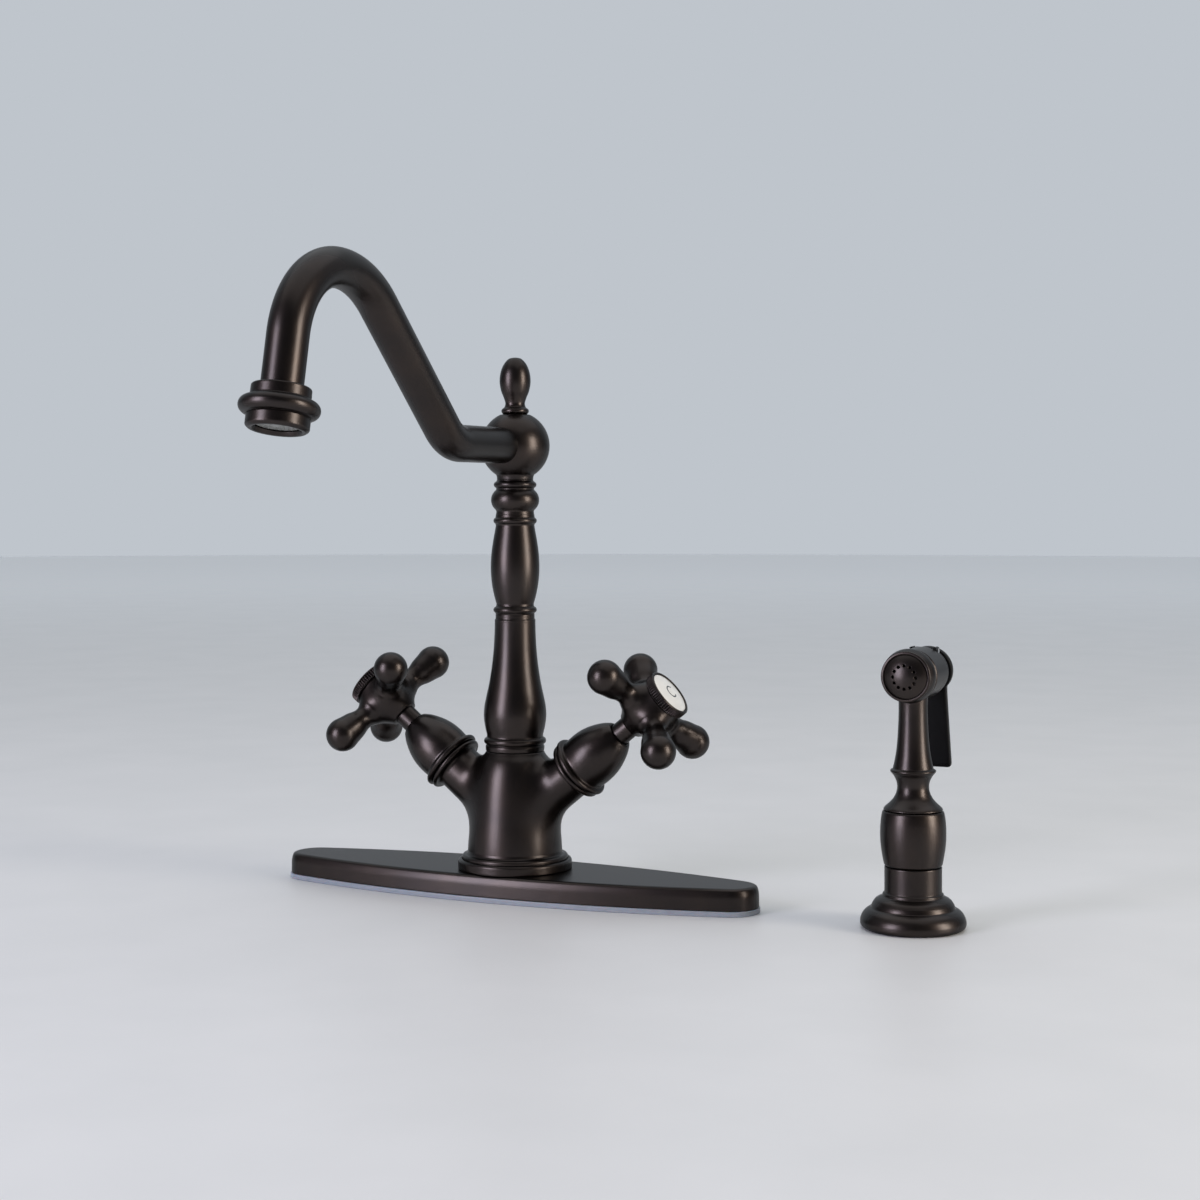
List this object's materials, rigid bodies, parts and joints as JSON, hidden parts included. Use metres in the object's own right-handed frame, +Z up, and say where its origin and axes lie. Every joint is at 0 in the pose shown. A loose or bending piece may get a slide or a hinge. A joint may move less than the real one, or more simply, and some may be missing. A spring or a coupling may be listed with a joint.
{
  "type": "two handle kitchen faucet",
  "caption": "Kitchen faucet on a long cover plate, with cross handles on angled valve arms, an arched spout on a turned post and a separate side sprayer.",
  "frame": {"origin": "on the worktop's surface, on the axis of the spout post and mounting hole", "axes": "+Z up, +X towards the sprayer, +Y towards the wall; the spout points along -Y at rest"},
  "size_m": [0.356, 0.2687, 0.3931],
  "materials": {
    "oil_rubbed_bronze": "satin oil-rubbed bronze",
    "brass": "turned brass",
    "steel": "stainless steel",
    "rubber": "matt black rubber",
    "black_plastic": "smooth black plastic",
    "white_plastic": "natural white plastic",
    "grey_plastic": "light grey plastic",
    "clear_plastic": "frosted clear plastic",
    "porcelain": "white glazed porcelain",
    "ceramic": "ground ceramic"
  },
  "bodies": {
    "faucet_base": {"deck_gasket": "clear_plastic", "deck_plate": "oil_rubbed_bronze", "mounting_shank": "brass", "shank_gasket": "rubber", "shank_washer": "steel", "shank_nut": "brass", "hot_inlet": "brass", "cold_inlet": "brass", "spray_outlet": "brass", "base_ring": "oil_rubbed_bronze", "faucet_body": "oil_rubbed_bronze", "diverter": "white_plastic", "hot_cartridge": "brass", "cold_cartridge": "brass", "hot_fixed_disc": "ceramic", "cold_fixed_disc": "ceramic", "hot_bonnet": "oil_rubbed_bronze", "cold_bonnet": "oil_rubbed_bronze", "spout_stem": "brass", "stem_o_ring": "rubber", "swivel_washer": "black_plastic", "spray_guide": "oil_rubbed_bronze", "guide_bush": "black_plastic", "guide_washer": "steel", "guide_nut": "brass"},
    "spout": {"column_lower": "oil_rubbed_bronze", "column_upper": "oil_rubbed_bronze", "column_collar": "oil_rubbed_bronze", "column_tube": "brass", "spout_set_screw": "steel", "spout_hub": "oil_rubbed_bronze", "finial": "oil_rubbed_bronze", "spout_tube": "oil_rubbed_bronze", "outlet_collar": "oil_rubbed_bronze", "aerator_housing": "oil_rubbed_bronze", "aerator_insert": "grey_plastic", "aerator_washer": "rubber"},
    "hot_handle": {"hot_stem": "brass", "hot_moving_disc": "ceramic", "hot_cross_handle": "oil_rubbed_bronze", "hot_handle_screw": "steel", "hot_index_ring": "oil_rubbed_bronze", "hot_index_disc": "porcelain"},
    "cold_handle": {"cold_stem": "brass", "cold_moving_disc": "ceramic", "cold_cross_handle": "oil_rubbed_bronze", "cold_handle_screw": "steel", "cold_index_ring": "oil_rubbed_bronze", "cold_index_disc": "porcelain"},
    "sprayer": {"spray_grip": "oil_rubbed_bronze", "hose_coupling": "brass", "spray_neck": "oil_rubbed_bronze", "spray_head": "oil_rubbed_bronze", "spray_face_ring": "oil_rubbed_bronze", "spray_face": "oil_rubbed_bronze", "spray_rear_cap": "black_plastic", "lever_pin": "steel"},
    "spray_trigger": {"spray_lever": "black_plastic"},
    "spray_valve": {"valve_plunger": "brass", "valve_spring": "steel"}
  },
  "joints": [
    {"name": "spout_swivel", "type": "hinge", "parent": "faucet_base", "child": "spout", "pos_m": [0, 0, 0.085], "axis": [0, 0, 1], "continuous": true},
    {"name": "hot_turn", "type": "hinge", "parent": "faucet_base", "child": "hot_handle", "pos_m": [-0.07228, 0, 0.09413], "axis": [-0.7771, 0, 0.6293], "range_deg": [0, 90]},
    {"name": "cold_turn", "type": "hinge", "parent": "faucet_base", "child": "cold_handle", "pos_m": [0.07228, 0, 0.09413], "axis": [-0.7771, 0, -0.6293], "range_deg": [0, 90]},
    {"name": "sprayer_lift", "type": "slide", "parent": "faucet_base", "child": "sprayer", "axis": [0, 0, 1], "range_m": [0, 0.08]},
    {"name": "trigger_press", "type": "hinge", "parent": "sprayer", "child": "spray_trigger", "pos_m": [0.2032, 0.0198, 0.1254], "axis": [-1, 0, 0], "range_deg": [0, 7], "stiffness_Nm_per_rad": 1, "springref_deg": -5.73},
    {"name": "valve_slide", "type": "slide", "parent": "sprayer", "child": "spray_valve", "axis": [0, -1, 0], "range_m": [0, 0.0015], "deforming": ["valve_spring"]}
  ],
  "couplings": [
    {"joint": "valve_slide", "follows": "trigger_press", "m_per_rad": 0.0097}
  ]
}
